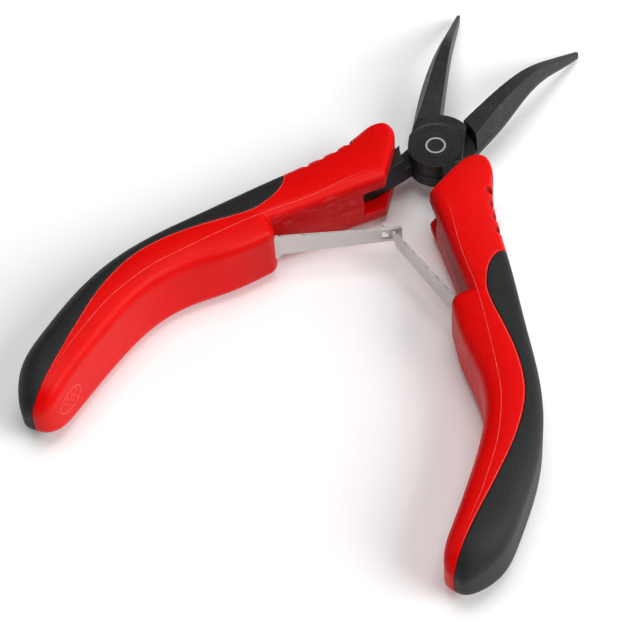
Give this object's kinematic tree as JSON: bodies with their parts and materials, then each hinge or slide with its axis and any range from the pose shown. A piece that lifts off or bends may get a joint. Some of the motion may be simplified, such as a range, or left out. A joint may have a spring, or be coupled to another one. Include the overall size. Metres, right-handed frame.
{
  "type": "needle nose pliers",
  "caption": "Slim bent-nose needle nose pliers with a lap joint, two-colour moulded grips and hooked leaf springs that hold them open.",
  "frame": {"origin": "on the pivot axis, in the back face of the joint", "axes": "+Z along the pivot axis out of the front face, +Y from the pivot to the jaws, +X to the right handle's side; the tips bend towards -Z"},
  "size_m": [0.1042, 0.1379, 0.0178],
  "materials": {
    "dark_steel": "phosphated tool steel, satin black",
    "rivet_steel": "phosphated steel, ground flush",
    "red_plastic": "semi-gloss moulded plastic",
    "soft_black": "matt soft overmould, fine grain",
    "spring_steel": "satin rolled spring strip"
  },
  "bodies": {
    "front_half_body": {"front_half": "dark_steel", "pivot_rivet": "rivet_steel", "right_grip": "red_plastic", "right_soft_pad": "soft_black"},
    "rear_half_body": {"rear_half": "dark_steel", "left_grip": "red_plastic", "left_soft_pad": "soft_black"},
    "right_leaf": {"right_leaf_spring": "spring_steel"},
    "left_leaf": {"left_leaf_spring": "spring_steel"}
  },
  "joints": [
    {"name": "main_pivot", "type": "hinge", "parent": "front_half_body", "child": "rear_half_body", "pos_m": [0, 0, 0.0034], "axis": [0, 0, 1], "range_deg": [0, 34.6], "stiffness_Nm_per_rad": 0.6, "deforming": ["right_leaf_spring", "left_leaf_spring"]},
    {"name": "right_leaf_flex", "type": "hinge", "parent": "front_half_body", "child": "right_leaf", "pos_m": [0.0202, -0.03505, 0.0034], "axis": [0, 0, 1], "range_deg": [-19.5, 0], "deforming": ["right_leaf_spring"]},
    {"name": "left_leaf_flex", "type": "hinge", "parent": "rear_half_body", "child": "left_leaf", "pos_m": [-0.0202, -0.03505, 0.0034], "axis": [0, 0, 1], "range_deg": [0, 19.5], "deforming": ["left_leaf_spring"]}
  ],
  "couplings": [
    {"joint": "right_leaf_flex", "follows": "main_pivot", "ratio": -0.557},
    {"joint": "left_leaf_flex", "follows": "main_pivot", "ratio": 0.557}
  ]
}
